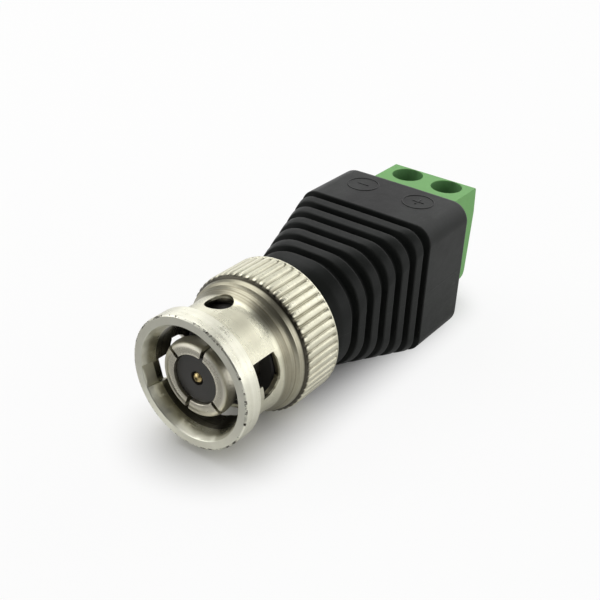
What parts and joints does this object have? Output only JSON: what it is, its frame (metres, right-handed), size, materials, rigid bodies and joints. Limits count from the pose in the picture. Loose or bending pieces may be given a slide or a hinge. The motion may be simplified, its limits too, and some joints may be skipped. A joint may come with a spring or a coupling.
{
  "type": "bnc screw terminal connector",
  "caption": "Bayonet coaxial plug with a nickel twist-lock sleeve and a ribbed black body that ends in a green pluggable-style screw terminal, as used on camera video cables.",
  "frame": {"origin": "on the plug's axis, in the plane of the front rim of the coupling sleeve at rest", "axes": "-Y is the mating direction, +Y is where the wires enter, +Z is the side of the terminal screws, +X is the side of the positive pole"},
  "size_m": [0.0162, 0.0429, 0.015],
  "materials": {
    "nickel": "satin turned and knurled, slightly warm",
    "contact_nickel": "turned, satin",
    "gold": "plated, smooth",
    "insulator": "smooth, satin",
    "seal": "matt",
    "spring_steel": "plain",
    "body_black": "moulded, satin",
    "terminal_green": "moulded, matt, light green",
    "zinc_steel": "plated",
    "tinned_brass": "tinned"
  },
  "bodies": {
    "plug": {"plug_shell": "contact_nickel", "wave_washer": "spring_steel", "front_gasket": "seal", "outer_contact": "contact_nickel", "front_insulator": "insulator", "centre_contact": "gold", "rear_insulator": "insulator", "housing": "body_black", "terminal_block": "terminal_green", "current_bar_minus": "tinned_brass", "current_bar_plus": "tinned_brass", "earth_strap": "tinned_brass", "centre_link": "tinned_brass"},
    "slider": {"thrust_washer": "spring_steel"},
    "sleeve": {"coupling_sleeve": "nickel", "retaining_ring": "spring_steel"},
    "cage_minus": {"clamp_cage_minus": "zinc_steel"},
    "cage_plus": {"clamp_cage_plus": "zinc_steel"},
    "screw_minus": {"clamp_screw_minus": "zinc_steel"},
    "screw_plus": {"clamp_screw_plus": "zinc_steel"}
  },
  "joints": [
    {"name": "sleeve_pull", "type": "slide", "parent": "plug", "child": "slider", "axis": [0, -1, 0], "range_m": [0, 0.0006], "stiffness_N_per_m": 1500, "springref_m": -0.0004, "deforming": ["wave_washer"]},
    {"name": "sleeve_turn", "type": "hinge", "parent": "slider", "child": "sleeve", "pos_m": [0, 0, 0], "axis": [0, 1, 0], "continuous": true},
    {"name": "screw_turn_minus", "type": "hinge", "parent": "plug", "child": "screw_minus", "pos_m": [-0.00254, 0.0406, 0], "axis": [0, 0, -1], "range_deg": [0, 1873]},
    {"name": "cage_lift_minus", "type": "slide", "parent": "plug", "child": "cage_minus", "axis": [0, 0, 1], "range_m": [0, 0.0026]},
    {"name": "screw_turn_plus", "type": "hinge", "parent": "plug", "child": "screw_plus", "pos_m": [0.00254, 0.0406, 0], "axis": [0, 0, -1], "range_deg": [0, 1873]},
    {"name": "cage_lift_plus", "type": "slide", "parent": "plug", "child": "cage_plus", "axis": [0, 0, 1], "range_m": [0, 0.0026]}
  ],
  "couplings": [
    {"joint": "screw_turn_minus", "follows": "cage_lift_minus", "rad_per_m": 12566},
    {"joint": "screw_turn_plus", "follows": "cage_lift_plus", "rad_per_m": 12566}
  ]
}
